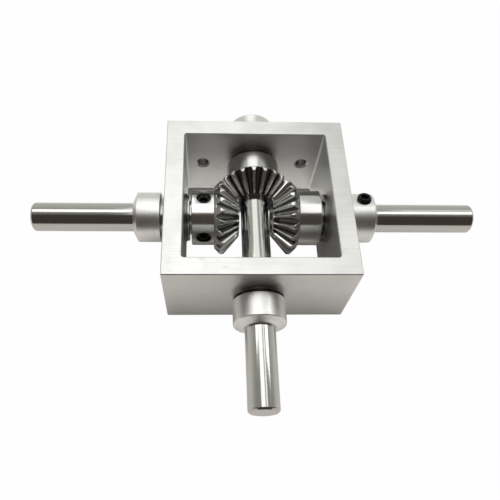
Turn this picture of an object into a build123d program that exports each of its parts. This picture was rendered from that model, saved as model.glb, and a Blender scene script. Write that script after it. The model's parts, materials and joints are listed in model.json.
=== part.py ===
from build123d import *
from math import acos, atan, cos, pi, radians, sin, sqrt, tan
import os

# Right angle bevel gearbox: an open square frame, three shafts and three bevel gears.
# The origin is midway between the two tapped holes, on the outer face of the back wall.
# +Y points out of that wall, +X to the right and +Z up, out of the frame's open top.
# Every place along a shaft is a distance out from the crossing of the shaft axes,
# and every turn about a shaft is counted from straight up.

# Frame, a slice of square tube.
frame_side = 50.0
frame_height = 25.0
wall = 5.0
inside_corner_radius = 0.7
edge_break = 0.2
rear_hole_spacing = 30.0
rear_hole_diameter = 3.3
rear_hole_mouth = 4.2

# Shafts.
shaft_diameter = 8.0
side_shaft_reach = 62.5
front_shaft_reach = 55.7
back_shaft_reach = 35.0
shaft_chamfer = 0.5

# Flanged ball bearings, one from each face of every wall.
bearing_diameter = 12.0
bearing_seat_depth = 2.4
flange_diameter = 13.6
flange_thickness = 0.8
inner_ring_diameter = 9.6
outer_ring_wall = 0.65
shield_recess = 0.15

# Shaft collars.
collar_diameter = 14.0
collar_length = 7.6
collar_gap = 0.9
collar_nose_diameter = 9.4
collar_nose_length = 1.2
collar_screw_place = 3.6
collar_edge_break = 0.2

# Bevel gears.
module = 1.0
teeth = 20
pressure_angle = 20.0
dedendum = 1.25
backlash = 0.12
tip_diameter = 20.9
back_pitch_radius = 10.25
small_tip_radius = 5.45
front_lip = 0.15
root_rounding = 0.25
flank_steps = 4
gap_overcut = 1.5
gap_run_out = 2.0
rest_turn = 3.5
hub_diameter = 15.6
hub_start = 11.7
hub_gap = 1.2
hub_edge_break = 0.25
hub_screw_place = 3.4

# Set screws with hexagon sockets.
screw_diameter = 4.0
screw_point = 0.5
socket_width = 2.0
socket_depth = 1.6
hub_screw_length = 3.0
collar_screw_length = 4.0

# Rings that keep the hubs and collars off the bearings.
spacer_diameter = 9.5
washer_diameter = 13.2
washer_thickness = 0.5

# Clearances.
shaft_fit = 0.02
bearing_fit = 0.02
running_gap = 0.15
ring_proud = 0.1
thread_fit = 0.05
screw_seat_gap = 0.03

# Turns of the set screws about their shafts, in degrees.
hub_screw_turns = {"left": (-80, 10), "right": (150, 240), "back": (135, 225)}
collar_screw_turns = {"left": (150,), "right": (-15,), "front": (180,), "back": (180,)}

# What follows from the sizes above.
crossing = Vector(0, -frame_side / 2, 0)
outer_face = frame_side / 2
inner_face = outer_face - wall
shaft_radius = shaft_diameter / 2
bore_radius = shaft_radius + shaft_fit
collar_start = outer_face + flange_thickness + collar_gap
collar_end = collar_start + collar_length
hub_end = inner_face - flange_thickness - hub_gap

outward = {
    "left": Vector(-1, 0, 0),
    "right": Vector(1, 0, 0),
    "front": Vector(0, -1, 0),
    "back": Vector(0, 1, 0),
}


def shaft_axis(side):
    """Axis of a shaft, away from the crossing."""
    return Axis(crossing, outward[side])


def profile_plane(side):
    """Plane through a shaft's axis, its X out along the shaft and its Y up."""
    return Plane(crossing, x_dir=outward[side], z_dir=outward[side].cross(Vector(0, 0, 1)))


def radial(side, turn):
    """Direction square to a shaft at a turn about it."""
    return Vector(0, 0, 1).rotate(Axis((0, 0, 0), outward[side]), turn)


def screw_plane(side, turn, place, height=0.0):
    """Plane square to a radial screw, at a height above the shaft's axis."""
    direction = radial(side, turn)
    start = crossing + outward[side] * place + direction * height
    return Plane(start, x_dir=outward[side], z_dir=direction)


def turned(profile, *outline):
    """Turned piece, from points of distance along a profile plane's X and radius."""
    with BuildPart() as piece:
        with BuildSketch(profile):
            with BuildLine():
                Polyline(*outline, close=True)
            make_face()
        revolve(axis=Axis(profile.origin, profile.x_dir))
    return piece.part


def keep(piece, name):
    """Name a finished piece and write it as a file of that name."""
    piece.label = name
    export_step(piece, f"parts/{name}.step")


# Frame: bearing seats through all four walls, two tapped holes in the back one.


def square_frame():
    """Slice of square tube with its seats and tapped holes."""
    hole_radius = rear_hole_diameter / 2
    inside = frame_side - 2 * wall
    with BuildPart() as frame:
        with BuildSketch(Plane(crossing - Vector(0, 0, frame_height / 2))):
            Rectangle(frame_side, frame_side)
            RectangleRounded(inside, inside, inside_corner_radius, mode=Mode.SUBTRACT)
        extrude(amount=frame_height)
        faces = frame.faces().sort_by(Axis.Z)
        corners = frame.edges().filter_by(Axis.Z).sort_by_distance(crossing)[-4:]
        chamfer(corners + faces[0].edges() + faces[-1].edges(), edge_break)
        for side in ("right", "back"):
            with BuildSketch(Plane(crossing, z_dir=outward[side])):
                Circle(bearing_diameter / 2 + bearing_fit)
            extrude(amount=frame_side, both=True, mode=Mode.SUBTRACT)
        with BuildSketch(Plane((0, 0, 0), x_dir=outward["right"], z_dir=outward["back"])):
            with GridLocations(rear_hole_spacing, 0, 2, 1):
                Circle(hole_radius)
        extrude(amount=-wall, mode=Mode.SUBTRACT)
        mouths = frame.edges().filter_by(GeomType.CIRCLE)
        mouths = mouths.filter_by(lambda edge: abs(edge.radius - hole_radius) < edge_break / 2)
        chamfer(mouths, (rear_hole_mouth - rear_hole_diameter) / 2)
    return frame.part


# Bearings: the outer ring and its shields stay in the wall, the inner ring turns.


def outer_ring(side, face, out):
    """Flanged outer ring with the shields that close it."""
    flange_end = face + out * flange_thickness
    seat_end = face - out * bearing_seat_depth
    seat = bearing_diameter / 2
    land = seat - outer_ring_wall
    lip = inner_ring_diameter / 2 + running_gap
    recess = out * shield_recess
    return turned(
        profile_plane(side),
        (seat_end, seat),
        (face, seat),
        (face, flange_diameter / 2),
        (flange_end, flange_diameter / 2),
        (flange_end, land),
        (flange_end - recess, land),
        (flange_end - recess, lip),
        (seat_end, lip),
    )


def ring(side, start, end, diameter):
    """Plain ring on a shaft."""
    radius = diameter / 2
    corners = ((start, bore_radius), (start, radius), (end, radius), (end, bore_radius))
    return turned(profile_plane(side), *corners)


# Set screws, with a point towards the shaft and a socket outwards.


def screw_blank(side, turn, place, length):
    """Set screw without its socket, with its point just off the shaft."""
    start = crossing + outward[side] * place
    low = shaft_radius + screw_seat_gap
    high = low + length
    radius = screw_diameter / 2
    return turned(
        Plane(start, x_dir=radial(side, turn), z_dir=outward[side]),
        (low, 0),
        (low, radius - screw_point),
        (low + screw_point, radius),
        (high, radius),
        (high, 0),
    )


def set_screws(side, place, turns, length):
    """The set screws that hold one hub or collar."""
    top = shaft_radius + screw_seat_gap + length
    blanks = [screw_blank(side, turn, place, length) for turn in turns]
    with BuildPart() as screws:
        add(blanks)
        for turn in turns:
            with BuildSketch(screw_plane(side, turn, place, top)):
                RegularPolygon(socket_width / 2, 6, major_radius=False)
            extrude(amount=-socket_depth, mode=Mode.SUBTRACT)
    return screws.part


def tapped(piece, side, place, turns):
    """The piece with the holes for its set screws."""
    with BuildPart() as result:
        add(piece)
        for turn in turns:
            with BuildSketch(screw_plane(side, turn, place)):
                Circle(screw_diameter / 2 + thread_fit)
            extrude(amount=frame_side, mode=Mode.SUBTRACT)
    return result.part


def collar(side):
    """Shaft collar with a cone on its outer end."""
    body = collar_diameter / 2
    blank = turned(
        profile_plane(side),
        (collar_start, bore_radius),
        (collar_start, body - collar_edge_break),
        (collar_start + collar_edge_break, body),
        (collar_end - collar_nose_length, body),
        (collar_end, collar_nose_diameter / 2),
        (collar_end, bore_radius),
    )
    return tapped(blank, side, collar_start + collar_screw_place, collar_screw_turns[side])


# Bevel gears with straight teeth whose edges all run to the crossing of the axes.
# Tooth flanks are involutes of the equivalent spur gear, which has its centre on
# the gear's axis and the length of the pitch cone as its pitch radius.

pitch_radius = module * teeth / 2
cone_length = pitch_radius * sqrt(2)
base_radius = cone_length * cos(radians(pressure_angle))
root_radius = cone_length - dedendum * module
face_slope = tan(pi / 4 + atan(module / cone_length))
tooth_turn = 360 / teeth


def involute(angle):
    """Involute function of a pressure angle."""
    return tan(angle) - angle


def gap_edge(radius):
    """Point on one side of a gap between teeth, from the pitch point."""
    pressure = acos(min(1.0, base_radius / radius))
    at_pitch = (pi * module + backlash) / 4 / cone_length
    half = at_pitch - involute(radians(pressure_angle)) + involute(pressure)
    return Vector(radius * sin(half), radius * cos(half) - cone_length)


def tooth_gap(scale):
    """Outline of a gap between teeth, drawn square to the pitch cone."""
    step = (cone_length + gap_overcut - base_radius) / flank_steps
    radii = [base_radius + step * index for index in range(flank_steps + 1)]
    flank = [gap_edge(radius) * scale for radius in radii]
    foot = gap_edge(root_radius + root_rounding) * scale
    bottom = Vector(0, -dedendum * module) * scale
    with BuildLine() as outline:
        ThreePointArc((-foot.X, foot.Y), bottom, foot)
        Line(foot, flank[0])
        Spline(*flank)
        Line(flank[-1], (-flank[-1].X, flank[-1].Y))
        mirror(Line(foot, flank[0]), about=Plane.YZ)
        mirror(Spline(*flank), about=Plane.YZ)
    return outline.line


def pitch_plane(side, turn, distance):
    """Plane square to the pitch cone at a distance from the crossing."""
    across = radial(side, turn)
    along = (outward[side] + across).normalized()
    return Plane(crossing + along * distance, x_dir=across.cross(outward[side]), z_dir=along)


def gap_cutter(side, turn):
    """Wedge that tapers to the crossing and cuts one gap."""
    near = small_tip_radius
    far = cone_length + gap_run_out
    with BuildPart() as cutter:
        for distance in (near, far):
            with BuildSketch(pitch_plane(side, turn, distance)):
                add(tooth_gap(distance / cone_length))
                make_face()
        loft(ruled=True)
    return cutter.part


def small_end_place():
    """Places of the teeth's small end and of the gear's front face."""
    tip = small_tip_radius / face_slope
    root_slope = tan(pi / 4 - atan(dedendum * module / cone_length))
    root = (tip + small_tip_radius) / (1 + root_slope)
    return tip, root + front_lip


def bevel_gear(side, first_turn):
    """Bevel gear with a hub, with its first gap at a turn about its shaft."""
    small_tip, front = small_end_place()
    tip = tip_diameter / 2
    hub = hub_diameter / 2
    blank = turned(
        profile_plane(side),
        (front, bore_radius),
        (front, small_tip + small_tip_radius - front),
        (small_tip, small_tip_radius),
        (tip / face_slope, tip),
        (2 * back_pitch_radius - tip, tip),
        (hub_start, 2 * back_pitch_radius - hub_start),
        (hub_start, hub),
        (hub_end - hub_edge_break, hub),
        (hub_end, hub - hub_edge_break),
        (hub_end, bore_radius),
    )
    cutter = gap_cutter(side, first_turn)
    with BuildPart() as gear:
        add(blank)
        gaps = [cutter.rotate(shaft_axis(side), tooth_turn * index) for index in range(teeth)]
        add(gaps, mode=Mode.SUBTRACT)
    return tapped(gear.part, side, hub_end - hub_screw_place, hub_screw_turns[side])


def shaft(side, start, end):
    """Shaft with chamfered ends."""
    chamfered = shaft_radius - shaft_chamfer
    return turned(
        profile_plane(side),
        (start, 0),
        (start, chamfered),
        (start + shaft_chamfer, shaft_radius),
        (end - shaft_chamfer, shaft_radius),
        (end, chamfered),
        (end, 0),
    )


os.makedirs("parts", exist_ok=True)

keep(square_frame(), "housing_frame")

for side in outward:
    for place, face, out in (("outside", outer_face, 1), ("inside", inner_face, -1)):
        keep(outer_ring(side, face, out), f"{side}_{place}_bearing_outer_ring")
        seat_end = face - out * bearing_seat_depth
        proud_end = face + out * (flange_thickness + ring_proud)
        inner = ring(side, seat_end, proud_end, inner_ring_diameter)
        keep(inner, f"{side}_{place}_bearing_inner_ring")
    outside_face = outer_face + flange_thickness + ring_proud
    keep(ring(side, outside_face, collar_start, spacer_diameter), f"{side}_collar_spacer")
    keep(collar(side), f"{side}_collar")
    collar_screw = collar_start + collar_screw_place
    screws = set_screws(side, collar_screw, collar_screw_turns[side], collar_screw_length)
    keep(screws, f"{side}_collar_set_screw")

# The left gear has a wide washer next to its bearing, and so a shorter spacer.
inside_face = inner_face - flange_thickness - ring_proud
washer_end = inside_face - washer_thickness
keep(ring("left", washer_end, inside_face, washer_diameter), "left_gear_washer")
keep(ring("left", hub_end, washer_end, spacer_diameter), "left_gear_spacer")
keep(ring("right", hub_end, inside_face, spacer_diameter), "right_gear_spacer")
keep(ring("back", hub_end, inside_face, spacer_diameter), "back_gear_spacer")

# Both side gears have a gap towards the back gear, which has a tooth there.
first_turns = {"left": rest_turn, "right": rest_turn, "back": tooth_turn / 2 - rest_turn}
for side, first_turn in first_turns.items():
    keep(bevel_gear(side, first_turn), f"{side}_bevel_gear")
    hub_screw = hub_end - hub_screw_place
    screws = set_screws(side, hub_screw, hub_screw_turns[side], hub_screw_length)
    keep(screws, f"{side}_gear_set_screws")

for side in ("left", "right"):
    keep(shaft(side, small_end_place()[1], side_shaft_reach), f"{side}_shaft")
keep(shaft("front", -back_shaft_reach, front_shaft_reach), "through_shaft")
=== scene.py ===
"""Right angle bevel gearbox: its detailed pieces, finishes, light and camera.

Lengths are millimetres until a mesh, a lamp or the camera is made. A place along a shaft is a
distance out from the crossing of the shaft axes, and a turn about a shaft is counted from
straight up.
"""

from __future__ import annotations

import json
import logging
import math
from dataclasses import dataclass, field, replace
from enum import Enum

import bmesh
import bpy
import numpy as np
from mathutils import Matrix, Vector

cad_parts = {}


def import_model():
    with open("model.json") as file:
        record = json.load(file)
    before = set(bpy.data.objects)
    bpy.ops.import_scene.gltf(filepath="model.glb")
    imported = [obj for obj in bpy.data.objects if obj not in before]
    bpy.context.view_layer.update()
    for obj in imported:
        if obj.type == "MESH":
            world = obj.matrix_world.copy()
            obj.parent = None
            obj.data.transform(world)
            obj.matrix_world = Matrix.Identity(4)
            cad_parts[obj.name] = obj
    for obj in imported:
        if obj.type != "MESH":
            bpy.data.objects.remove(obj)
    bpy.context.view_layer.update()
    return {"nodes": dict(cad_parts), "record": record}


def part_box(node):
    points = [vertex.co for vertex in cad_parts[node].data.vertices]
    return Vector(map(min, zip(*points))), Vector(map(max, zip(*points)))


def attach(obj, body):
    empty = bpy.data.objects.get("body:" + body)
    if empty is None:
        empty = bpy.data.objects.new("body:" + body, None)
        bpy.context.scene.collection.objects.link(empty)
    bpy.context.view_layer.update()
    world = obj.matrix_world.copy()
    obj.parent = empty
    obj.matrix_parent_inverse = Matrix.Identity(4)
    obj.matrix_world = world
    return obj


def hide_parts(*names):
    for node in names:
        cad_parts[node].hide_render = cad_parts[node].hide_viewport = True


MM = 0.001
PHOTO_SIZE = 500
SMOOTH_ANGLE = math.radians(32)
MERGE_DISTANCE = 1e-7
LEAST_EDGE = 1e-8
UP = np.array([0.0, 0.0, 1.0])
FRAME_SIDE = 50.0
WALL = 5.0
SHAFT_BORE = 4.02
FINE_COLUMNS = 160

Socket = bpy.types.NodeSocket
Piece = bpy.types.Object
Material = bpy.types.Material
Pair = tuple[float, float]
Triple = tuple[float, float, float]
Array = np.ndarray
BLACK = (0.0, 0.0, 0.0)
WHITE = (1.0, 1.0, 1.0)

log = logging.getLogger("gearbox")


class Side(Enum):
    """Side of the frame that a shaft runs out to."""

    LEFT = "left"
    RIGHT = "right"
    FRONT = "front"
    BACK = "back"

    @property
    def outward(self) -> Array:
        """Direction away from the crossing."""
        ways = {"left": (-1, 0, 0), "right": (1, 0, 0), "front": (0, -1, 0), "back": (0, 1, 0)}
        return np.array(ways[self.value], float)

    @property
    def body(self) -> str:
        """Body that turns on this side."""
        return "through_shaft" if self in (Side.FRONT, Side.BACK) else f"{self.value}_shaft"


class Coat(Enum):
    """Kind of lines that a tool leaves in a metal surface."""

    TURNED = "turned"
    PLANED = "planed"
    PLAIN = "plain"


@dataclass(frozen=True)
class Spindle:
    """Straight axis that a piece is turned about."""

    origin: Array
    along: Array
    up: Array

    def points(self, distance: Array, radius: Array, turn: Array) -> Array:
        """Points from cylinder coordinates.

        Args:
            distance: places along the axis.
            radius: distances from the axis.
            turn: angles about the axis, from its up direction, in radians.

        Returns:
            Points with the broadcast shape of the arguments and a last axis of three.
        """
        across = np.cross(self.along, self.up)
        grids = np.broadcast_arrays(distance, radius, turn)
        distance, radius, turn = (grid[..., None] for grid in grids)
        spoke = np.cos(turn) * self.up + np.sin(turn) * across
        return self.origin + distance * self.along + radius * spoke


class Gauge:
    """Places and sizes read from the frame."""

    def __init__(self, record: dict) -> None:
        """Takes the crossing of the shaft axes from the record's first joint."""
        self.crossing = np.array(record["behaviour"]["joints"][0]["pos_m"]) / MM

    def spindle(self, side: Side) -> Spindle:
        """Axis of the shaft on a side."""
        return Spindle(self.crossing, side.outward, UP)

    def span(self, node: str, side: Side) -> Pair:
        """Least and greatest distance of a node from the crossing, along a side's shaft."""
        corners = (np.array(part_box(node)) / MM - self.crossing) @ side.outward
        return float(corners.min()), float(corners.max())

    def radius(self, node: str) -> float:
        """Greatest radius of a node that is round about its shaft, from its height over it."""
        return float(np.array(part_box(node))[1][2] / MM - self.crossing[2])


def full_turn(columns: int) -> Array:
    """Turns of the columns of a grid that goes once round."""
    return np.linspace(0, math.tau, columns, endpoint=False)


def curved(start: Array, corner: Array, end: Array, steps: int) -> Array:
    """Quadratic curves that replace corners, with their points on a new axis before the last."""
    t = np.linspace(0, 1, steps + 1)[:, None]
    start, corner, end = (points[..., None, :] for points in (start, corner, end))
    return (1 - t) ** 2 * start + 2 * t * (1 - t) * corner + t**2 * end


def rounded(outline: Array, size: float, closed: bool = True) -> Array:
    """Outline with soft corners.

    One more point lies beyond each end of a corner's curve, so that flats next to it stay flat.

    Args:
        outline: corner points, one row each.
        size: distance from a corner at which its curve starts, less on a short edge.
        closed: whether the last point joins the first. If not, those two stay sharp.

    Returns:
        The points of the softened outline.
    """
    most_of_edge = 0.3
    guard = 1.5
    steps = 3
    back = np.roll(outline, 1, axis=0) - outline
    ahead = np.roll(outline, -1, axis=0) - outline
    back_length = np.linalg.norm(back, axis=1, keepdims=True)
    ahead_length = np.linalg.norm(ahead, axis=1, keepdims=True)
    cut = np.minimum(size, most_of_edge * np.minimum(back_length, ahead_length))
    to_back = back / back_length * cut
    to_ahead = ahead / ahead_length * cut
    curve = curved(outline + to_back, outline, outline + to_ahead, steps)
    before = outline + to_back * guard
    after = outline + to_ahead * guard
    points = np.concatenate([before[:, None], curve, after[:, None]], axis=1)
    if closed:
        return points.reshape(-1, 2)
    return np.concatenate([outline[:1], points[1:-1].reshape(-1, 2), outline[-1:]])


def clockwise(outline: Array) -> Array:
    """Outline in the order that makes turned faces point outwards."""
    x, y = outline.T
    area = np.sum(x * np.roll(y, -1) - np.roll(x, -1) * y)
    return outline[::-1] if area > 0 else outline


def grid_quads(rows: int, columns: int, stride: int, ring: bool) -> Array:
    """Quads of a grid whose columns go once round.

    Args:
        rows: number of rows of points.
        columns: number of columns of points.
        stride: points in a row of the array that is indexed, columns, or one more if it is cut open.
        ring: whether the last row joins the first.

    Returns:
        Four indices a quad, in the order that puts outside the left-hand side of rising rows.
    """
    row = np.arange(rows if ring else rows - 1)[:, None]
    column = np.arange(columns)[None, :]
    after = column + 1
    below = row + 1
    if stride == columns:
        after = after % columns
        below = below % rows
    here = row * stride
    there = below * stride
    corners = np.broadcast_arrays(here + column, here + after, there + after, there + column)
    return np.stack(corners, axis=-1).reshape(-1, 4)


def grid_piece(
    name: str, points: Array, ring: bool, marks: Array | None = None, rise: Array | None = None
) -> Piece:
    """Mesh object from a grid of points that goes once round its columns.

    Args:
        name: the piece's name.
        points: places in millimetres, rows by columns by three.
        ring: whether the last row joins the first. If not, both lie on the axis.
        marks: pattern coordinates in millimetres, with one more row and column than the points.
            Without them they are the distance round and the distance over the rows.
        rise: a value from 0 to 1 for each point, how far it stands out of a gap; a gear finish paints shade
            where it is low.

    Returns:
        The new object, linked to the scene.
    """
    rows, columns = points.shape[:2]
    quads = grid_quads(rows, columns, columns, ring)
    mesh = bpy.data.meshes.new(name)
    mesh.vertices.add(rows * columns)
    mesh.vertices.foreach_set("co", (points * MM).astype(np.float32).ravel())
    mesh.loops.add(quads.size)
    mesh.loops.foreach_set("vertex_index", quads.astype(np.int32).ravel())
    mesh.polygons.add(len(quads))
    mesh.polygons.foreach_set("loop_start", np.arange(0, quads.size, 4, dtype=np.int32))
    mesh.update(calc_edges=True)
    if rise is not None:
        layer = mesh.attributes.new("rise", "FLOAT", "POINT")
        layer.data.foreach_set("value", rise.astype(np.float32).ravel())
    if marks is None:
        middle = points.mean(axis=1)
        reach = np.linalg.norm(points - middle[:, None], axis=2).mean(axis=1)
        profile = np.stack([middle @ np.ones(3), reach], axis=1)
        profile = np.concatenate([profile, profile[:1]])
        length = np.concatenate([[0], np.cumsum(np.linalg.norm(np.diff(profile, axis=0), axis=1))])
        round_it = np.linspace(0, 1, columns + 1) * math.tau * reach.max()
        marks = np.stack(np.meshgrid(round_it, length), axis=-1)
    layer = mesh.uv_layers.new(name="marks")
    loose = grid_quads(rows, columns, columns + 1, ring)
    layer.data.foreach_set("uv", marks.reshape(-1, 2)[loose].astype(np.float32).ravel())
    return finished(name, mesh)


def finished(name: str, mesh: bpy.types.Mesh) -> Piece:
    """Object around a mesh whose doubled points are merged and whose smooth faces are marked."""
    shape = bmesh.new()
    shape.from_mesh(mesh)
    bmesh.ops.remove_doubles(shape, verts=shape.verts, dist=MERGE_DISTANCE)
    bmesh.ops.dissolve_degenerate(shape, edges=shape.edges, dist=LEAST_EDGE)
    shape.to_mesh(mesh)
    shape.free()
    smooth_faces(mesh)
    piece = bpy.data.objects.new(name, mesh)
    bpy.context.scene.collection.objects.link(piece)
    return piece


def smooth_faces(mesh: bpy.types.Mesh) -> None:
    """Shades a mesh smooth, with the edges over the smooth angle kept sharp."""
    mesh.polygons.foreach_set("use_smooth", np.ones(len(mesh.polygons), bool))
    mesh.set_sharp_from_angle(angle=SMOOTH_ANGLE)
    mesh.update()


def turned_piece(
    name: str, spindle: Spindle, outline: Array, soft: float, columns: int = 128
) -> Piece:
    """Piece turned about a spindle.

    Args:
        name: the piece's name.
        spindle: its axis.
        outline: corners as distance along the axis and radius. An outline whose first and last
            points lie on the axis is a solid bar, and any other is a ring.
        soft: size of its soft corners.
        columns: number of points round it.

    Returns:
        The new object.
    """
    ring = bool(outline[0][1] > 0 or outline[-1][1] > 0)
    profile = clockwise(rounded(outline, soft, closed=ring))
    points = spindle.points(profile[:, :1], profile[:, 1:], full_turn(columns)[None, :])
    return grid_piece(name, points, ring)


def zigzag(phase: Array) -> Array:
    """Triangle wave from 0 to 1 and back, once for each whole number of its argument."""
    return 1 - np.abs(2 * (phase % 1) - 1)


def cut_away(piece: Piece, cutters: list[Piece]) -> None:
    """Takes cutters out of a piece and deletes them."""
    for cutter in cutters:
        step = piece.modifiers.new("hole", "BOOLEAN")
        step.operation = "DIFFERENCE"
        step.solver = "EXACT"
        step.object = cutter
    graph = bpy.context.evaluated_depsgraph_get()
    mesh = bpy.data.meshes.new_from_object(piece.evaluated_get(graph))
    piece.modifiers.clear()
    piece.data = mesh
    smooth_faces(mesh)
    for cutter in cutters:
        bpy.data.objects.remove(cutter)


class Nodes:
    """Short hand for building a node tree."""

    def __init__(self, tree: bpy.types.NodeTree) -> None:
        """Empties the tree."""
        self.tree = tree
        tree.nodes.clear()

    def add(self, kind: str, inputs: dict | None = None, **settings: object) -> bpy.types.Node:
        """Adds a node.

        Args:
            kind: the node's type.
            inputs: values or output sockets, by the name or number of the input that they go to.
            settings: the node's own settings.

        Returns:
            The node.
        """
        node = self.tree.nodes.new(kind)
        for key, value in settings.items():
            setattr(node, key, value)
        for key, value in (inputs or {}).items():
            self.put(node.inputs[key], value)
        return node

    def put(self, socket: Socket, value: Socket | float | Triple) -> None:
        """Links an input to another node's output, or sets its number or its opaque colour."""
        if isinstance(value, Socket):
            self.tree.links.new(value, socket)
        else:
            socket.default_value = (*value, 1.0) if socket.type == "RGBA" else value

    def math(self, operation: str, *values: float | Socket) -> Socket:
        """Output of a math node."""
        return self.add("ShaderNodeMath", dict(enumerate(values)), operation=operation).outputs[0]

    def scaled(self, value: Socket, low: float, high: float) -> Socket:
        """A value from 0 to 1 spread over a range."""
        return self.add("ShaderNodeMapRange", {"Value": value, "To Min": low, "To Max": high}).outputs[0]

    def band(self, value: Socket, start: float, end: float, low: float = 0.0, high: float = 1.0) -> Socket:
        """Soft step from low to high between two values."""
        inputs = {"Value": value, "From Min": start, "From Max": end, "To Min": low, "To Max": high}
        return self.add("ShaderNodeMapRange", inputs, interpolation_type="SMOOTHSTEP").outputs[0]

    def distance_band(self, value: Socket, reach: Pair, low: float = 0.0, high: float = 1.0) -> Socket:
        """Soft step from low to high between two distances in millimetres."""
        return self.band(value, reach[0] * MM, reach[1] * MM, low, high)

    def noise(self, place: Socket, scale: float | Triple, detail: float = 3.0) -> Socket:
        """Value of a noise texture, whose scale may differ along the three axes."""
        if isinstance(scale, tuple):
            place = self.add("ShaderNodeMapping", {"Vector": place, "Scale": scale}).outputs[0]
            scale = 1.0
        inputs = {"Vector": place, "Scale": scale, "Detail": detail}
        return self.add("ShaderNodeTexNoise", inputs).outputs["Fac"]

    def axes(self, vector: Socket) -> tuple[Socket, ...]:
        """The three parts of a vector."""
        return tuple(self.add("ShaderNodeSeparateXYZ", {0: vector}).outputs)

    def weighted(self, first: Socket, second: Socket, weights: Pair) -> Socket:
        """Sum of two values, each times its weight."""
        parts = [self.math("MULTIPLY", value, weight) for value, weight in zip((first, second), weights)]
        return self.math("ADD", *parts)

    def mix(self, factor: Socket, first: Socket | Triple, second: Socket | Triple) -> Socket:
        """Colour between two colours or the outputs of two nodes."""
        node = self.add("ShaderNodeMix", data_type="RGBA")
        for number, value in ((0, factor), (6, first), (7, second)):
            self.put(node.inputs[number], value)
        return node.outputs[2]

    def either(self, share: Socket | float, first: bpy.types.Node, second: bpy.types.Node) -> bpy.types.Node:
        """Shader between two shaders."""
        return self.add("ShaderNodeMixShader", {0: share, 1: first.outputs[0], 2: second.outputs[0]})

    def rays(self) -> tuple[Socket, Socket]:
        """Whether a ray comes from the camera, and whether a surface mirrored it or let it through."""
        path = self.add("ShaderNodeLightPath")
        mirrored = self.math("MAXIMUM", path.outputs["Is Glossy Ray"], path.outputs["Is Transmission Ray"])
        return path.outputs["Is Camera Ray"], mirrored

    def metal(self, tone: Socket, rough: Socket, height: Socket, strength: float, depth: float) -> None:
        """Ends a material in bare metal, with a relief whose depth is in millimetres."""
        bump = self.add("ShaderNodeBump", {"Height": height, "Strength": strength, "Distance": depth * MM})
        inputs = {"Base Color": tone, "Metallic": 1.0, "Roughness": rough, "Normal": bump.outputs[0]}
        shader = self.add("ShaderNodeBsdfPrincipled", inputs)
        self.add("ShaderNodeOutputMaterial", {"Surface": shader.outputs[0]})


def new_material(name: str) -> tuple[Material, Nodes]:
    """Material, and its empty node tree."""
    material = bpy.data.materials.new(name)
    material.use_nodes = True
    return material, Nodes(material.node_tree)


@dataclass(frozen=True)
class MetalFinish:
    """Bare metal with the fine lines of the tool that cut it, and painted shade in the gaps of gear teeth
    where its gap tone is below 1. Its scales are per metre.
    """

    name: str
    base: Triple
    roughness: float
    coat: Coat
    line_pitch: float = 0.15
    line_height: float = 0.001
    tone_change: float = 0.04
    rough_change: float = 0.04
    gap_shade_tone: float = 1.0
    line_stretch: float = 40.0
    cloud_scale: float = 160.0
    speck_scale: float = 2600.0
    tone_weights: Pair = (0.6, 0.4)
    grain_weights: Pair = (0.5, 0.5)
    tone_band: Pair = (0.3, 0.7)
    gap_shade_band: Pair = (0.1, 0.95)
    bump_strength: float = 0.35

    def material(self) -> Material:
        """Node material of the finish."""
        material, nodes = new_material(self.name)
        lines = self.lines(nodes)
        body = nodes.add("ShaderNodeTexCoord").outputs["Object"]
        cloud = nodes.noise(body, self.cloud_scale, 4.0)
        speck = nodes.noise(body, self.speck_scale, 2.0)
        dark = tuple(level * (1 - self.tone_change) for level in self.base)
        light = tuple(min(1.0, level * (1 + self.tone_change)) for level in self.base)
        tone = nodes.weighted(lines, cloud, self.tone_weights)
        grain = nodes.weighted(lines, speck, self.grain_weights)
        base = nodes.mix(nodes.band(tone, *self.tone_band), dark, light)
        rough = nodes.scaled(grain, self.roughness - self.rough_change, self.roughness + self.rough_change)
        # Painted shade: the rise attribute mixes the base colour towards black, darkest down in the gaps
        # between teeth, standing in for the shade and dark reflections there.
        if self.gap_shade_tone < 1:
            rise = nodes.add("ShaderNodeAttribute", attribute_name="rise").outputs["Fac"]
            gap_shade = nodes.band(rise, *self.gap_shade_band, self.gap_shade_tone, 1.0)
            base = nodes.mix(gap_shade, BLACK, base)
        nodes.metal(base, rough, lines, self.bump_strength, self.line_height)
        return material

    def lines(self, nodes: Nodes) -> Socket:
        """Height of the tool's lines, from 0 to 1.

        Turned lines change along the outline of a piece and hardly round it. Planed lines run
        from the small end of a tooth to its large end. A plain coat has fine grain alone.
        """
        if self.coat is Coat.PLAIN:
            place = nodes.add("ShaderNodeTexCoord").outputs["Object"]
            return nodes.noise(place, 1 / (self.line_pitch * MM))
        marks = nodes.add("ShaderNodeUVMap", uv_map="marks").outputs[0]
        across = 1 / self.line_pitch
        along = across / self.line_stretch
        scale = (along, across, 1.0) if self.coat is Coat.TURNED else (across, along, 1.0)
        return nodes.noise(marks, scale, 4.0)


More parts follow.
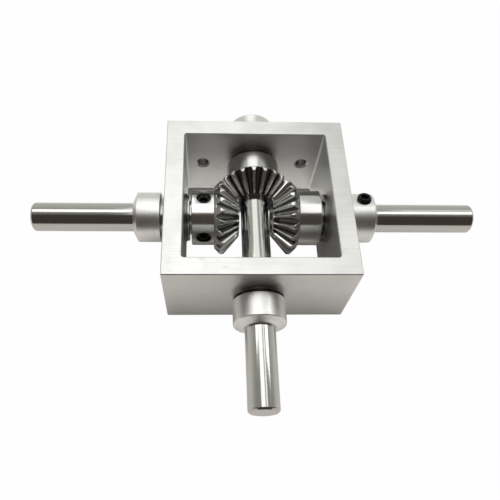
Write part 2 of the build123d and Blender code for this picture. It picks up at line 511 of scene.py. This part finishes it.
@dataclass(frozen=True)
class FrameFinish:
    """Aluminium tube with sawn ends and drawn sides, with painted shade on the faces inside its walls. Its
    scales are per metre.
    """

    name: str = "drawn_aluminium"
    base: Triple = (0.80, 0.80, 0.79)
    end_base: Triple = (0.86, 0.86, 0.86)
    inner_shade_base: Triple = (0.64, 0.64, 0.635)
    side_low: float = 0.94
    end_low: float = 0.90
    roughness: float = 0.42
    scuff_roughness: float = 0.55
    drawn_scale: Triple = (2400.0, 2400.0, 90.0)
    milled_scale: Triple = (45.0, 3800.0, 45.0)
    scuff_scale: Triple = (500.0, 900.0, 500.0)
    cloud_scale: float = 120.0
    grain_scale: float = 5200.0
    end_band: Pair = (0.6, 0.9)
    scuff_band: Pair = (0.58, 0.72)
    cloud_band: Pair = (0.3, 0.7)
    streak_band: Pair = (0.38, 0.6)
    streak_weights: Pair = (0.68, 0.32)
    height_weights: Pair = (0.7, 0.5)
    bump_strength: float = 0.25
    bump_height: float = 0.004
    slack: float = 0.3

    def inner(self, nodes: Nodes, body: Socket) -> Socket:
        """1 on the faces inside the walls, and 0 outside them."""
        x, y, _ = nodes.axes(body)
        edge = (FRAME_SIDE / 2 - WALL + self.slack) * MM
        across = nodes.math("ABSOLUTE", x)
        along = nodes.math("ABSOLUTE", nodes.math("ADD", y, FRAME_SIDE / 2 * MM))
        return nodes.math("LESS_THAN", nodes.math("MAXIMUM", across, along), edge)

    def material(self) -> Material:
        """Node material of the finish."""
        material, nodes = new_material(self.name)
        place = nodes.add("ShaderNodeTexCoord")
        body = place.outputs["Object"]
        upright = nodes.math("ABSOLUTE", nodes.axes(place.outputs["Normal"])[2])
        flat_end = nodes.band(upright, *self.end_band)
        drawn = nodes.noise(body, self.drawn_scale)
        milled = nodes.noise(body, self.milled_scale)
        lines = nodes.add("ShaderNodeMix", {"Factor": flat_end, "A": drawn, "B": milled}, data_type="FLOAT")
        cloud = nodes.noise(body, self.cloud_scale, 5.0)
        scuff = nodes.noise(body, self.scuff_scale, 6.0)
        grain = nodes.noise(body, self.grain_scale, 2.0)
        low = tuple(self.side_low * level for level in self.base)
        outer_tone = nodes.mix(nodes.band(cloud, *self.cloud_band), low, self.base)
        # Painted shade: the faces inside the walls get a darker base, for the shade and dark reflections
        # inside the frame.
        side_tone = nodes.mix(self.inner(nodes, body), outer_tone, self.inner_shade_base)
        low = tuple(self.end_low * level for level in self.end_base)
        streak = nodes.weighted(cloud, milled, self.streak_weights)
        end_tone = nodes.mix(nodes.band(streak, *self.streak_band), low, self.end_base)
        tone = nodes.mix(flat_end, side_tone, end_tone)
        rough = nodes.scaled(nodes.band(scuff, *self.scuff_band), self.roughness, self.scuff_roughness)
        height = nodes.weighted(lines.outputs[0], grain, self.height_weights)
        nodes.metal(tone, rough, height, self.bump_strength, self.bump_height)
        return material


SHAFT_FINISH = MetalFinish(
    "polished_shaft", (0.62, 0.618, 0.60), 0.13, Coat.TURNED,
    line_pitch=0.12, line_height=0.0003, tone_change=0.03, rough_change=0.02,
)
COLLAR_FINISH = MetalFinish(
    "turned_collar", (0.95, 0.947, 0.94), 0.37, Coat.TURNED,
    line_pitch=0.26, line_height=0.02, tone_change=0.16, rough_change=0.09, line_stretch=240.0,
)
# Gear finishes paint shade into the gaps between teeth.
GEAR_FINISH = MetalFinish(
    "planed_gear", (0.78, 0.775, 0.765), 0.17, Coat.PLANED, line_pitch=0.18, tone_change=0.05, gap_shade_tone=0.5
)
# Rear gear: a slightly darker base and darker painted shade in its tooth gaps.
BACK_GEAR_FINISH = replace(
    GEAR_FINISH, name="gap_shaded_back_gear", base=(0.76, 0.755, 0.745), roughness=0.24, gap_shade_tone=0.26
)
# Bearing rings are far darker than bare steel: painted shade between the collars, hubs and walls.
BEARING_FINISH = MetalFinish("shade_darkened_bearing", (0.22, 0.22, 0.218), 0.24, Coat.TURNED)
# Steel spacers and the washer, their tone lowered below the other bare steel as painted shade in the narrow
# gaps by the collars, hubs and walls.
SPACER_FINISH = MetalFinish("shade_darkened_spacer", (0.52, 0.518, 0.51), 0.2, Coat.TURNED)
THREAD_FINISH = MetalFinish(
    "threaded_aluminium", (0.30, 0.30, 0.30), 0.4, Coat.PLAIN,
    line_pitch=0.3, line_height=0.002, tone_change=0.1, rough_change=0.05,
)
SCREW_FINISH = MetalFinish(
    "blackened_screw", (0.035, 0.035, 0.036), 0.34, Coat.PLAIN,
    line_pitch=0.2, line_height=0.004, tone_change=0.25, rough_change=0.08,
)


@dataclass
class Dresser:
    """Gives pieces their body and material, and hides the nodes that they stand for."""

    record: dict
    materials: dict[str, Material] = field(default_factory=dict)

    def material(self, finish: MetalFinish | FrameFinish) -> Material:
        """The one material of a finish."""
        if finish.name not in self.materials:
            self.materials[finish.name] = finish.material()
        return self.materials[finish.name]

    def dress(self, piece: Piece, body: str, node: str, finish: MetalFinish) -> None:
        """Puts a new piece in the place of a node."""
        piece.data.materials.clear()
        piece.data.materials.append(self.material(finish))
        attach(piece, body)
        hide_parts(node)
        log.info("%s stands for %s on %s", piece.name, node, body)

    def keep(self, node: Piece, finish: MetalFinish | FrameFinish) -> None:
        """Gives a node that stays its material."""
        for slot in node.material_slots:
            slot.material = self.material(finish)
        log.info("%s keeps its shape", node.name)


@dataclass(frozen=True)
class Thread:
    """Metric thread of a screw or a tapped hole."""

    pitch: float = 0.7
    height: float = 0.2
    rows_a_turn: int = 8
    columns: int = 72

    def surface(self, start: float, end: float, crest: float) -> tuple[Array, Array]:
        """Helix surface whose radius is a triangle wave of the place less the turn.

        Args:
            start: place where the thread starts.
            end: place where it ends.
            crest: greatest radius.

        Returns:
            Places, one a row, and radii, rows by columns.
        """
        rows = max(2, int(abs(end - start) / self.pitch * self.rows_a_turn))
        place = np.linspace(start, end, rows)
        turn = np.linspace(0, 1, self.columns, endpoint=False)
        wave = zigzag(place[:, None] / self.pitch - turn[None, :])
        return place, crest - self.height * (1 - wave)

    def points(self, spindle: Spindle, *parts: tuple[Array | float, Array | float]) -> Array:
        """Grid of points about a spindle, from corners and stretches of thread.

        Args:
            spindle: the axis.
            parts: place and radius of a corner, or places and radii of a stretch, in their order.
                A corner's radius may differ round the axis.

        Returns:
            The points, rows by columns by three.
        """
        places = np.concatenate([np.atleast_1d(place) for place, _ in parts])
        radii = [np.broadcast_to(radius, (np.size(place), self.columns)) for place, radius in parts]
        return spindle.points(places[:, None], np.concatenate(radii), full_turn(self.columns)[None, :])


@dataclass(frozen=True)
class SetScrew:
    """Grub screw with a cone point and a hexagon socket."""

    seat: float = 4.03
    radius: float = 1.97
    point: float = 0.5
    socket: float = 2.0
    socket_depth: float = 1.4
    drill_cone: float = 0.45
    edge: float = 0.28
    edge_slope: float = 0.6
    mouth_depth: float = 0.12
    mouth_slack: float = 0.04
    clearance: float = 0.05
    crest_share: float = 0.6
    neck: float = 0.7
    flare_start: float = 0.4
    flare: float = 0.08
    thread: Thread = Thread()

    def points(self, spindle: Spindle, length: float) -> Array:
        """Grid of points of the screw, from its point over its thread and down its socket.

        The socket's radius is that of a hexagon: half its width over the cosine of the turn from
        the middle of a side.
        """
        low = self.seat
        high = low + length
        sixth = math.tau / 6
        half = self.socket / 2
        flat = half / np.cos((full_turn(self.thread.columns) + sixth / 2) % sixth - sixth / 2)
        corner = half / math.cos(sixth / 2)
        core = self.radius - self.thread.height
        bottom = high - self.socket_depth
        return self.thread.points(
            spindle,
            (low, 0.0), (low, core - self.point), (low + self.point, core),
            self.thread.surface(low + self.point, high - self.edge, self.radius),
            (high - self.edge, core), (high, core - self.edge * self.edge_slope),
            (high, corner + self.mouth_slack), (high - self.mouth_depth, flat), (bottom, flat),
            (bottom - self.drill_cone, 0.0),
        )

    def piece(self, name: str, spindles: list[Spindle], length: float) -> Piece:
        """One object of all the screws of a node.

        Args:
            name: the object's name.
            spindles: the screws' axes, away from the shaft.
            length: the screws' length.

        Returns:
            The new object.
        """
        made = [grid_piece(name, self.points(spindle, length), ring=False) for spindle in spindles]
        shape = bmesh.new()
        for one in made:
            shape.from_mesh(one.data)
        shape.to_mesh(made[0].data)
        shape.free()
        smooth_faces(made[0].data)
        for spare in made[1:]:
            bpy.data.objects.remove(spare)
        return made[0]

    def hole(self, spindle: Spindle, surface: float) -> Piece:
        """Cutter of a tapped hole with a flared mouth, from inside the bore to past a surface."""
        inside, thread_start, lip, past = 2.6, 3.2, surface + 0.1, surface + 2
        thread_end = surface - self.neck - self.clearance
        crest = self.radius + self.clearance + self.thread.height * self.crest_share
        root = crest - self.thread.height
        wide = root + self.flare
        points = self.thread.points(
            spindle,
            (inside, 0.0), (inside, root),
            self.thread.surface(thread_start, thread_end, crest),
            (surface - self.neck, root), (surface - self.flare_start, root),
            (lip, wide), (past, wide), (past, 0.0),
        )
        return grid_piece("hole_cutter", points, ring=False)


def screw_spindle(gauge: Gauge, side: Side, place: float, turn: float) -> Spindle:
    """Axis of a set screw.

    Args:
        gauge: places of the frame.
        side: side of the shaft that the screw holds.
        place: distance along that shaft.
        turn: turn about it, in degrees.

    Returns:
        The axis, away from the shaft.
    """
    shaft = gauge.spindle(side)
    angle = np.array(math.radians(turn))
    start = shaft.points(np.array(place), np.array(0.0), angle)
    spoke = shaft.points(np.array(0.0), np.array(1.0), angle) - shaft.origin
    return Spindle(start, spoke, side.outward)


@dataclass
class BevelGear:
    """Straight bevel gear with a hub.

    A tooth's surface is made of straight lines through the crossing of the axes. They go through
    the outline of a gap, which is drawn on the pitch cone rolled flat, as the distance round the
    pitch circle and the height over the cone. A flank there is the involute of the equivalent
    spur gear, whose pitch radius is the length of the pitch cone.
    """

    gauge: Gauge
    side: Side
    first_turn: float
    screw_turns: tuple[float, ...]
    module: float = 1.0
    teeth: int = 20
    pressure_angle: float = 20.0
    dedendum: float = 1.25
    backlash: float = 0.12
    tip_radius: float = 10.45
    back_pitch_radius: float = 10.25
    small_tip_radius: float = 5.45
    hub_radius: float = 7.8
    hub_start: float = 11.7
    screw_place: float = 3.4
    screw_length: float = 3.0
    tip_soft: float = 0.09
    root_soft: float = 0.34
    end_soft: float = 0.09
    hub_soft: float = 0.25
    crown: float = 0.12
    flank_points: int = 7
    flank_rows: int = 6
    face_shade_rise: float = 0.4
    marks_scale: float = 3.0
    finish: MetalFinish = GEAR_FINISH

    @property
    def pitch_radius(self) -> float:
        """Radius of the pitch circle."""
        return self.module * self.teeth / 2

    @property
    def cone_length(self) -> float:
        """Length of the pitch cone from the crossing to the large end."""
        return self.pitch_radius * math.sqrt(2)

    def half_gap(self) -> Array:
        """Half outline of a gap on the pitch cone, from its bottom to the middle of a tooth."""
        length = self.cone_length
        angle = math.radians(self.pressure_angle)
        base = length * math.cos(angle)
        past_tip = length + 1.5 * self.module
        samples = 40
        radius = np.linspace(base, past_tip, samples)
        pressure = np.arccos(base / radius)
        at_pitch = (math.pi * self.module + self.backlash) / 4 / length
        half = at_pitch - (math.tan(angle) - angle) + np.tan(pressure) - pressure
        x = radius * np.sin(half)
        y = radius * np.cos(half) - length
        away = (length + y) / math.sqrt(2)
        round_it = np.arctan2(x, away) * self.pitch_radius
        cone = np.arctan(np.hypot(away, x) * math.sqrt(2) / (length - y))
        height = (cone - math.pi / 4) * length
        top = math.atan(self.module / length) * length
        root = -math.atan(self.dedendum * self.module / length) * length
        heights = np.linspace(height[0], top - self.tip_soft, self.flank_points)
        flank = np.stack([np.interp(heights, height, round_it), heights], axis=1)
        tip = np.array([np.interp(top, height, round_it), top])
        foot = np.array([round_it[0], root])
        middle = np.array([math.pi * self.module / 2, top])
        bottom = np.array([0.0, root])
        low = self.corner(bottom, foot, flank[0], self.root_soft, steps=5)
        high = self.corner(flank[-1], tip, middle, self.tip_soft, steps=3)
        crown = middle - [self.crown, 0]
        return np.concatenate([[bottom], low, flank, high[1:], [crown, middle]])

    @staticmethod
    def corner(before: Array, at: Array, after: Array, size: float, steps: int) -> Array:
        """Quadratic curve that replaces one corner."""
        start = at + (before - at) / np.linalg.norm(before - at) * size
        end = at + (after - at) / np.linalg.norm(after - at) * size
        return curved(start, at, end, steps)

    def toothed(self, outline: Array) -> tuple[Array, Array]:
        """Turns about the axis and angles from it, once round all gaps and teeth of a half outline."""
        pitch = math.pi * self.module
        mirrored = outline[-2:0:-1] * [-1, 1] + [pitch, 0]
        whole = np.concatenate([outline, mirrored])
        start = math.radians(self.first_turn) + np.arange(self.teeth)[:, None] * math.tau / self.teeth
        turn = start + whole[None, :, 0] / self.pitch_radius
        cone = np.broadcast_to(math.pi / 4 + whole[None, :, 1] / self.cone_length, turn.shape)
        return turn.ravel(), cone.ravel()

    def ends(self, cone: Array, small: float, large: float) -> tuple[Array, ...]:
        """Distances from the crossing, at cone angles, to the ends of the teeth.

        Args:
            cone: angles from the axis.
            small: sum of place and radius on the cone at the small end.
            large: the same at the large end.

        Returns:
            Distances to the small end, to the large end's cone, and to that or the tips' cylinder.
        """
        both = np.cos(cone) + np.sin(cone)
        back = large / both
        return small / both, back, np.minimum(back, self.tip_radius / np.sin(cone))

    @staticmethod
    def row(length: Array, cone: Array, turn: Array) -> tuple[Array, ...]:
        """Places, radii and turns at distances from the crossing."""
        return length * np.cos(cone), length * np.sin(cone), turn

    def rows(self) -> tuple[Array, Array, Array, Array]:
        """Places, radii, turns and rises of the gear's surface, from the front of its bore.

        The ends of the teeth lie where a line through the crossing meets a cone of 45 degrees,
        on which place and radius add up to a constant, or the cylinder over the tips.
        """
        front, hub_end = self.gauge.span(f"{self.side.value}_bevel_gear", self.side)
        outline = self.half_gap()
        way = np.gradient(outline, axis=0)
        way /= np.linalg.norm(way, axis=1, keepdims=True)
        inner = outline + np.stack([way[:, 1], -way[:, 0]], axis=1) * self.end_soft
        inner[[0, -1], 0] = outline[[0, -1], 0]
        turn, cone = self.toothed(outline)
        inner_turn, inner_cone = self.toothed(inner)
        face_slope = math.tan(math.pi / 4 + math.atan(self.module / self.cone_length))
        small = self.small_tip_radius + self.small_tip_radius / face_slope
        large = 2 * self.back_pitch_radius
        near, _, far = self.ends(cone, small, large)
        near, far = near + self.end_soft, far - self.end_soft
        inner_near, inner_back, inner_far = self.ends(inner_cone, small, large)
        around = np.ones_like(turn)
        face = [(front, SHAFT_BORE), (front, small - front)]
        rows = [(place * around, radius * around, turn) for place, radius in face]
        rows.append(self.row(inner_near, inner_cone, inner_turn))
        shares = np.linspace(0, 1, self.flank_rows)
        rows += [self.row(near + (far - near) * share, cone, turn) for share in shares]
        inner_end = self.row(inner_far, inner_cone, inner_turn)
        over = inner_back > inner_far
        corner_place = np.where(over, large - self.tip_radius, inner_end[0])
        corner_radius = np.where(over, self.tip_radius, inner_end[1])
        rows += [inner_end, (corner_place, corner_radius, inner_turn)]
        hub = np.array([
            (self.hub_start, large - self.hub_start), (self.hub_start, self.hub_radius),
            (hub_end, self.hub_radius), (hub_end, SHAFT_BORE),
        ])
        soft = rounded(hub, self.hub_soft, closed=False)
        rows += [(place * around, radius * around, turn) for place, radius in soft]
        places, radii, turns = (np.array(part) for part in zip(*rows))
        flanks = slice(len(face), len(face) + 1 + self.flank_rows)
        # The rise drives painted shade in the gear finish: the front face gets a low rise and is painted
        # part dark, and the flanks run from dark at the roots to full tone at the tips.
        rise = np.ones_like(places)
        rise[: len(face)] = self.face_shade_rise
        rise[flanks] = (cone - cone.min()) / (cone.max() - cone.min())
        return places, radii, turns, rise

    def build(self, dresser: Dresser, screw: SetScrew) -> None:
        """Makes the gear and its set screws."""
        name = self.side.value
        places, radii, turns, rise = self.rows()
        points = self.gauge.spindle(self.side).points(places, radii, turns)
        columns = points.shape[1]
        step = np.linalg.norm(np.diff(points, axis=0, append=points[:1]), axis=2).mean(axis=1)
        length = np.concatenate([[0], np.cumsum(step)])
        round_it = np.linspace(0, self.teeth * math.pi * self.module, columns + 1)
        marks = np.stack(np.meshgrid(round_it * self.marks_scale, length), axis=-1)
        gear = grid_piece(f"{name}_toothed_gear", points, ring=True, marks=marks, rise=rise)
        _, hub_end = self.gauge.span(f"{name}_bevel_gear", self.side)
        place = hub_end - self.screw_place
        spindles = [screw_spindle(self.gauge, self.side, place, turn) for turn in self.screw_turns]
        cut_away(gear, [screw.hole(spindle, self.hub_radius) for spindle in spindles])
        dresser.dress(gear, self.side.body, f"{name}_bevel_gear", self.finish)
        screws = screw.piece(f"{name}_hub_grub_screws", spindles, self.screw_length)
        dresser.dress(screws, self.side.body, f"{name}_gear_set_screws", SCREW_FINISH)


@dataclass
class ShaftCollar:
    """Turned collar with a cone nose and one set screw."""

    gauge: Gauge
    side: Side
    screw_turn: float
    nose_radius: float = 4.7
    nose_length: float = 1.2
    screw_place: float = 3.6
    screw_length: float = 4.0
    soft: float = 0.16

    def build(self, dresser: Dresser, screw: SetScrew) -> None:
        """Makes the collar, its spacer and its set screw."""
        name = self.side.value
        node = f"{name}_collar"
        spindle = self.gauge.spindle(self.side)
        start, end = self.gauge.span(node, self.side)
        body = self.gauge.radius(node)
        outline = np.array([
            (start, SHAFT_BORE), (start, body), (end - self.nose_length, body),
            (end, self.nose_radius), (end, SHAFT_BORE),
        ])
        collar = turned_piece(f"{name}_turned_collar", spindle, outline, self.soft, FINE_COLUMNS)
        axis = screw_spindle(self.gauge, self.side, start + self.screw_place, self.screw_turn)
        cut_away(collar, [screw.hole(axis, body)])
        dresser.dress(collar, self.side.body, node, COLLAR_FINISH)
        grub = screw.piece(f"{name}_collar_grub_screw", [axis], self.screw_length)
        dresser.dress(grub, self.side.body, f"{name}_collar_set_screw", SCREW_FINISH)
        plain_ring(self.gauge, dresser, f"{name}_collar_spacer", self.side, SPACER_FINISH)


def plain_ring(gauge: Gauge, dresser: Dresser, node: str, side: Side, finish: MetalFinish) -> None:
    """Makes a ring with soft corners in the place of a ring on a shaft.

    Args:
        gauge: places of the frame.
        dresser: gives the piece its body and finish.
        node: the ring's node.
        side: side of its shaft.
        finish: its finish.
    """
    start, end = gauge.span(node, side)
    radius = gauge.radius(node)
    soft = 0.08
    outline = np.array([(start, SHAFT_BORE), (start, radius), (end, radius), (end, SHAFT_BORE)])
    ring = turned_piece(f"{node}_turned", gauge.spindle(side), outline, soft)
    dresser.dress(ring, side.body, node, finish)


@dataclass
class FlangedBearing:
    """Ball bearing with a flange, whose shield closes its face."""

    gauge: Gauge
    side: Side
    place: str
    seat_radius: float = 6.0
    flange: float = 0.8
    ring_wall: float = 0.65
    shield_lip: float = 4.95
    shield_recess: float = 0.15
    groove_depth: float = 0.1
    groove_steps: Triple = (0.02, 0.14, 0.2)
    soft: float = 0.09

    def build(self, dresser: Dresser) -> None:
        """Makes the outer ring with its shield, and the inner ring."""
        stem = f"{self.side.value}_{self.place}_bearing"
        outer = f"{stem}_outer_ring"
        near, far = self.gauge.span(outer, self.side)
        out = 1 if self.place == "outside" else -1
        face, end = (far, near) if out > 0 else (near, far)
        shoulder = face - out * self.flange
        rim = self.gauge.radius(outer)
        land = self.seat_radius - self.ring_wall
        recess = face - out * self.shield_recess
        groove = recess - out * self.groove_depth
        groove_out, groove_in, shield_edge = (land - step for step in self.groove_steps)
        outline = np.array([
            (end, self.seat_radius), (shoulder, self.seat_radius), (shoulder, rim), (face, rim),
            (face, land), (groove, groove_out), (groove, groove_in), (recess, shield_edge),
            (recess, self.shield_lip), (end, self.shield_lip),
        ])
        ring = turned_piece(f"{outer}_turned", self.gauge.spindle(self.side), outline, self.soft)
        dresser.dress(ring, "housing", outer, BEARING_FINISH)
        plain_ring(self.gauge, dresser, f"{stem}_inner_ring", self.side, BEARING_FINISH)


@dataclass
class Shaft:
    """Ground shaft with chamfered ends, whose node has its body's name."""

    gauge: Gauge
    side: Side
    chamfer: float = 0.5
    soft: float = 0.12

    def build(self, dresser: Dresser) -> None:
        """Makes the shaft."""
        node = self.side.body
        start, end = self.gauge.span(node, self.side)
        radius = self.gauge.radius(node)
        outline = np.array([
            (start, 0.0), (start, radius - self.chamfer), (start + self.chamfer, radius),
            (end - self.chamfer, radius), (end, radius - self.chamfer), (end, 0.0),
        ])
        spindle = self.gauge.spindle(self.side)
        bar = turned_piece(f"{node}_ground", spindle, outline, self.soft, FINE_COLUMNS)
        dresser.dress(bar, self.side.body, node, SHAFT_FINISH)


@dataclass
class HousingFrame:
    """Open square frame, with the threads of its two tapped holes."""

    gauge: Gauge
    hole_spacing: float = 30.0
    hole_radius: float = 1.66
    mouth: float = 0.6
    thread_inset: float = 0.01
    thread: Thread = Thread(height=0.14)

    def build(self, dresser: Dresser, node: Piece) -> None:
        """Dresses the frame and adds the threads."""
        dresser.keep(node, FrameFinish())
        start, end = WALL - self.mouth, self.mouth
        surface = self.thread.surface(start, end, self.hole_radius - self.thread_inset)
        for name, way in (("left", -1), ("right", 1)):
            origin = np.array([way * self.hole_spacing / 2, -WALL, 0.0])
            spindle = Spindle(origin, Side.BACK.outward, UP)
            back = [(place, self.hole_radius) for place in (end, start)]
            points = self.thread.points(spindle, surface, *back)
            sleeve = grid_piece(f"{name}_rear_hole_thread", points, ring=True)
            sleeve.data.materials.append(dresser.material(THREAD_FINISH))
            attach(sleeve, "housing")
            log.info("%s rides on housing", sleeve.name)


@dataclass(frozen=True)
class Panel:
    """Rectangular ceiling lamp: its middle, its width and depth, and how bright it looks."""

    name: str
    middle: Pair
    size: Pair
    radiance: float


PANELS = (
    Panel("left_panel", (-91.0, 25.0), (67.0, 60.0), 1.75),
    Panel("middle_panel", (-18.5, -17.0), (73.0, 92.0), 1.35),
    Panel("back_panel", (-10.0, 110.0), (112.0, 160.0), 0.88),
    Panel("narrow_panel", (48.0, -4.0), (28.0, 108.0), 1.15),
    Panel("right_panel", (128.0, 14.0), (92.0, 54.0), 2.0),
    Panel("right_back_panel", (153.0, 87.0), (94.0, 70.0), 0.45),
)


@dataclass
class Studio:
    """Pale floor, soft light and camera.

    A share is how much of the white background metal sees, and beside_frame is the part of the
    floor's share that is left at the frame's outline. A lean is the sine of a direction's angle
    from straight up towards the front.
    """

    floor_height: float = -12.6
    floor_size: float = 6000.0
    ceiling: float = 150.0
    camera_white: float = 0.985
    floor_share: float = 0.37
    beside_frame: float = 0.48
    foot_share: float = 0.05
    inner_share: float = 0.75
    behind_share: float = 0.62
    overhead_share: float = 0.26
    edge: float = 0.5
    shade_reach: float = 12.0
    share_reach: Pair = (0.0, 14.0)
    inner_reach: Pair = (-24.0, -9.0)
    dim_reach: Pair = (-16.5, -8.5)
    behind_lean: Pair = (-1.2, -0.15)
    front_lean: Pair = (-0.05, 0.4)
    shaded_floor: Triple = (0.42, 0.40, 0.38)
    open_floor: Triple = (0.80, 0.765, 0.73)
    floor_white: Triple = (1.0, 0.965, 0.915)
    dim_floor: Triple = (0.11, 0.108, 0.104)
    shown_floor: Triple = (0.9, 0.9, 0.9)
    even_room: Triple = (0.42, 0.42, 0.40)
    dim_room: Triple = (0.062, 0.05, 0.042)
    room_white: Triple = (0.98, 1.0, 0.93)

    def build(self) -> None:
        """Makes the floor, world, lamps and camera."""
        self.floor()
        self.world()
        for panel in PANELS:
            self.lamp(panel)
        self.camera()

    def floor(self) -> None:
        """Makes the floor, a wide square."""
        half = self.floor_size / 2 * MM
        height = self.floor_height * MM
        corners = [(x * half, y * half, height) for x, y in ((-1, -1), (1, -1), (1, 1), (-1, 1))]
        mesh = bpy.data.meshes.new("floor")
        mesh.from_pydata(corners, [], [(0, 1, 2, 3)])
        mesh.materials.append(self.floor_material())
        floor = bpy.data.objects.new("floor", mesh)
        bpy.context.scene.collection.objects.link(floor)

    def away(self, nodes: Nodes, x: Socket, y: Socket) -> Socket:
        """Distance of a place on the floor from the frame's outline, 0 inside it."""
        half = FRAME_SIDE / 2 * MM
        squares = []
        for part in (x, nodes.math("ADD", y, half)):
            over = nodes.math("SUBTRACT", nodes.math("ABSOLUTE", part), half)
            squares.append(nodes.math("POWER", nodes.math("MAXIMUM", over, 0.0), 2.0))
        return nodes.math("SQRT", nodes.math("ADD", *squares))

    def floor_material(self) -> Material:
        """White to the camera, and to metal a share of that white over the floor's own shade.

        The shade beside the frame falls off with the distance from its outline. Inside the frame
        the floor is dim at the rear wall, and opens out towards the front.
        """
        material, nodes = new_material("pale_floor")
        x, y, _ = nodes.axes(nodes.add("ShaderNodeTexCoord").outputs["Object"])
        away = self.away(nodes, x, y)
        inside = nodes.math("LESS_THAN", away, self.edge * MM)
        in_light = nodes.math("MAXIMUM", nodes.distance_band(away, (self.edge, self.shade_reach)), inside)
        tone = nodes.mix(in_light, self.shaded_floor, self.open_floor)
        shaded = nodes.add("ShaderNodeBsdfDiffuse", {"Color": tone})
        least = self.floor_share * self.beside_frame
        beside = nodes.distance_band(away, self.share_reach, least, self.floor_share)
        outer = nodes.math("MULTIPLY", beside, nodes.math("SUBTRACT", 1.0, inside))
        within = nodes.distance_band(y, self.inner_reach, self.foot_share, self.inner_share)
        share = nodes.math("ADD", outer, nodes.math("MULTIPLY", within, inside))
        camera, mirrored = nodes.rays()
        glow = nodes.add("ShaderNodeEmission", {"Color": self.floor_white, "Strength": 1.0})
        pale = nodes.either(nodes.math("MULTIPLY", mirrored, share), shaded, glow)
        dim = nodes.math("MULTIPLY", inside, nodes.distance_band(y, self.dim_reach))
        shown_tone = nodes.mix(dim, WHITE, self.dim_floor)
        white = nodes.add("ShaderNodeEmission", {"Color": shown_tone, "Strength": 1.0})
        bright = nodes.add("ShaderNodeBsdfDiffuse", {"Color": self.shown_floor})
        shown = nodes.either(self.camera_white, bright, white)
        both = nodes.either(camera, pale, shown)
        nodes.add("ShaderNodeOutputMaterial", {"Surface": both.outputs[0]})
        return material

    def world(self) -> None:
        """World: white to the camera, an even room to the floor, and to metal a share of the white.

        Metal sees most of the white behind the object, less of it overhead and none in front,
        where the room is dim.
        """
        world = bpy.data.worlds.new("studio")
        bpy.context.scene.world = world
        world.use_nodes = True
        nodes = Nodes(world.node_tree)
        x, y, _ = nodes.axes(nodes.add("ShaderNodeTexCoord").outputs["Generated"])
        forward = nodes.math("MULTIPLY", y, -1.0)
        flat = nodes.math("SQRT", nodes.math("SUBTRACT", 1.0, nodes.math("POWER", x, 2.0)))
        least = 0.001
        lean = nodes.math("DIVIDE", forward, nodes.math("MAXIMUM", flat, least))
        behind = nodes.band(lean, *self.behind_lean, self.behind_share, self.overhead_share)
        share = nodes.math("MULTIPLY", behind, nodes.band(lean, *self.front_lean, 1.0, 0.0))
        camera, mirrored = nodes.rays()
        metal_sees = nodes.mix(share, self.dim_room, self.room_white)
        room = nodes.mix(mirrored, self.even_room, metal_sees)
        sky = nodes.add("ShaderNodeBackground", {"Color": nodes.mix(camera, room, WHITE), "Strength": 1.0})
        nodes.add("ShaderNodeOutputWorld", {"Surface": sky.outputs[0]})

    def lamp(self, panel: Panel) -> None:
        """Lamp that shines straight down. Its power is pi times its area times its radiance."""
        width, depth = panel.size
        light = bpy.data.lights.new(panel.name, "AREA")
        light.shape = "RECTANGLE"
        light.size = width * MM
        light.size_y = depth * MM
        light.energy = panel.radiance * math.pi * width * depth * MM * MM
        lamp = bpy.data.objects.new(panel.name, light)
        lamp.location = [value * MM for value in (*panel.middle, self.ceiling)]
        lamp.visible_camera = False
        bpy.context.scene.collection.objects.link(lamp)

    def camera(self) -> None:
        """Camera at the photograph's place, with its own shift."""
        place = np.array([-13.04, -107.05, 121.35])
        azimuth, elevation, roll = (math.radians(angle) for angle in (5.138, -62.959, 4.580))
        focal_pixels = 506.1
        centre_pixel = (230.04, 280.95)
        level = math.cos(elevation)
        forward = np.array([level * math.sin(azimuth), level * math.cos(azimuth), math.sin(elevation)])
        level_right = np.array([math.cos(azimuth), -math.sin(azimuth), 0.0])
        level_up = np.cross(level_right, forward)
        right = math.cos(roll) * level_right + math.sin(roll) * level_up
        up = np.cross(right, forward)
        data = bpy.data.cameras.new("camera")
        data.sensor_width = 36.0
        data.lens = data.sensor_width * focal_pixels / PHOTO_SIZE
        data.shift_x = (PHOTO_SIZE / 2 - centre_pixel[0]) / PHOTO_SIZE
        data.shift_y = (centre_pixel[1] - PHOTO_SIZE / 2) / PHOTO_SIZE
        data.clip_start = 0.01
        data.clip_end = 20.0
        camera = bpy.data.objects.new("camera", data)
        turn = Matrix(np.stack([right, up, -forward], axis=1).tolist()).to_4x4()
        turn.translation = (place * MM).tolist()
        camera.matrix_world = turn
        bpy.context.scene.collection.objects.link(camera)
        bpy.context.scene.camera = camera


def main() -> None:
    """Builds the sub-assemblies in order."""
    logging.basicConfig(level=logging.INFO, format="%(name)s: %(message)s")
    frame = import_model()
    scene = bpy.context.scene
    scene.view_settings.view_transform = "Standard"
    gauge = Gauge(frame["record"])
    dresser = Dresser(frame["record"])
    screw = SetScrew()
    HousingFrame(gauge).build(dresser, frame["nodes"]["housing_frame"])
    for side in Side:
        for place in ("outside", "inside"):
            FlangedBearing(gauge, side, place).build(dresser)
    collar_turns = {Side.LEFT: 150.0, Side.RIGHT: -15.0, Side.FRONT: 180.0, Side.BACK: 180.0}
    for side, turn in collar_turns.items():
        ShaftCollar(gauge, side, turn).build(dresser, screw)
    rest_turn = 3.5
    half_tooth = 9.0
    gears = (
        (Side.LEFT, rest_turn, (-80.0, 10.0), GEAR_FINISH),
        (Side.RIGHT, rest_turn, (150.0, 240.0), GEAR_FINISH),
        (Side.BACK, half_tooth - rest_turn, (135.0, 225.0), BACK_GEAR_FINISH),
    )
    for side, first, turns, finish in gears:
        BevelGear(gauge, side, first, turns, finish=finish).build(dresser, screw)
        plain_ring(gauge, dresser, f"{side.value}_gear_spacer", side, SPACER_FINISH)
    plain_ring(gauge, dresser, "left_gear_washer", Side.LEFT, SPACER_FINISH)
    for side in (Side.LEFT, Side.RIGHT, Side.FRONT):
        Shaft(gauge, side).build(dresser)
    Studio().build()


if __name__ == "__main__":
    main()
